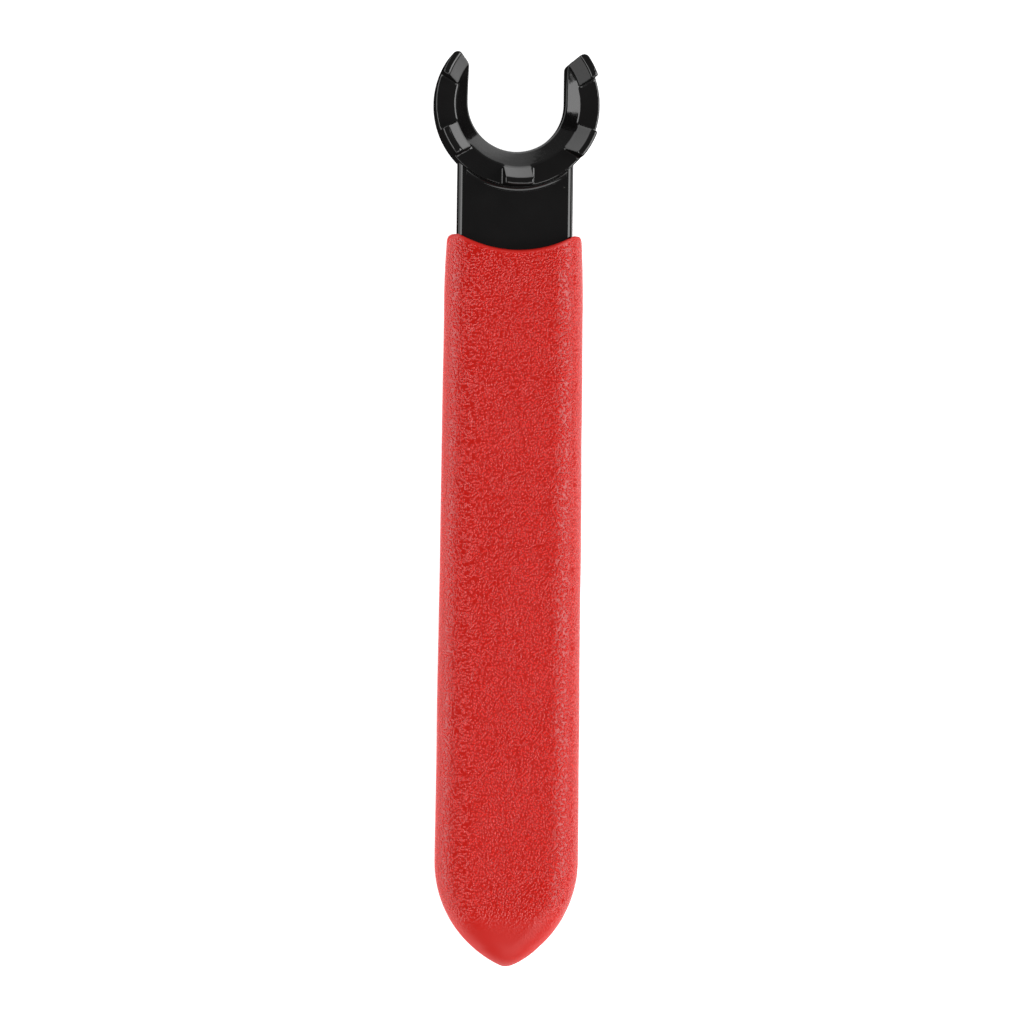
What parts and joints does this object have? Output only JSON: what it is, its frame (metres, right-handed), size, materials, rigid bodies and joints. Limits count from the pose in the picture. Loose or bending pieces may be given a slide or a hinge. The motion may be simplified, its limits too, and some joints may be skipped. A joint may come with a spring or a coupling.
{
  "type": "slotted nut spanner",
  "caption": "Open-ended spanner for slotted collet nuts: a C-shaped jaw ring with raised lugs on a flat black steel shank, with a dipped red vinyl grip.",
  "frame": {"origin": "centre of the tool's footprint, on the surface that it lies on with its lugs up", "axes": "+Y along the shank towards the open end of the jaw, +Z along the nut's axis out of the jaw's lugs, +X to the right of the two"},
  "size_m": [0.0228, 0.1262, 0.01],
  "materials": {
    "jaw_steel": "gloss",
    "shank_steel": "gloss",
    "fillet_steel": "gloss",
    "grip_vinyl": "satin"
  },
  "bodies": {
    "root": {"jaw_ring": "jaw_steel", "shank_bar": "shank_steel", "foot_fillet": "fillet_steel", "vinyl_grip": "grip_vinyl"}
  },
  "joints": []
}
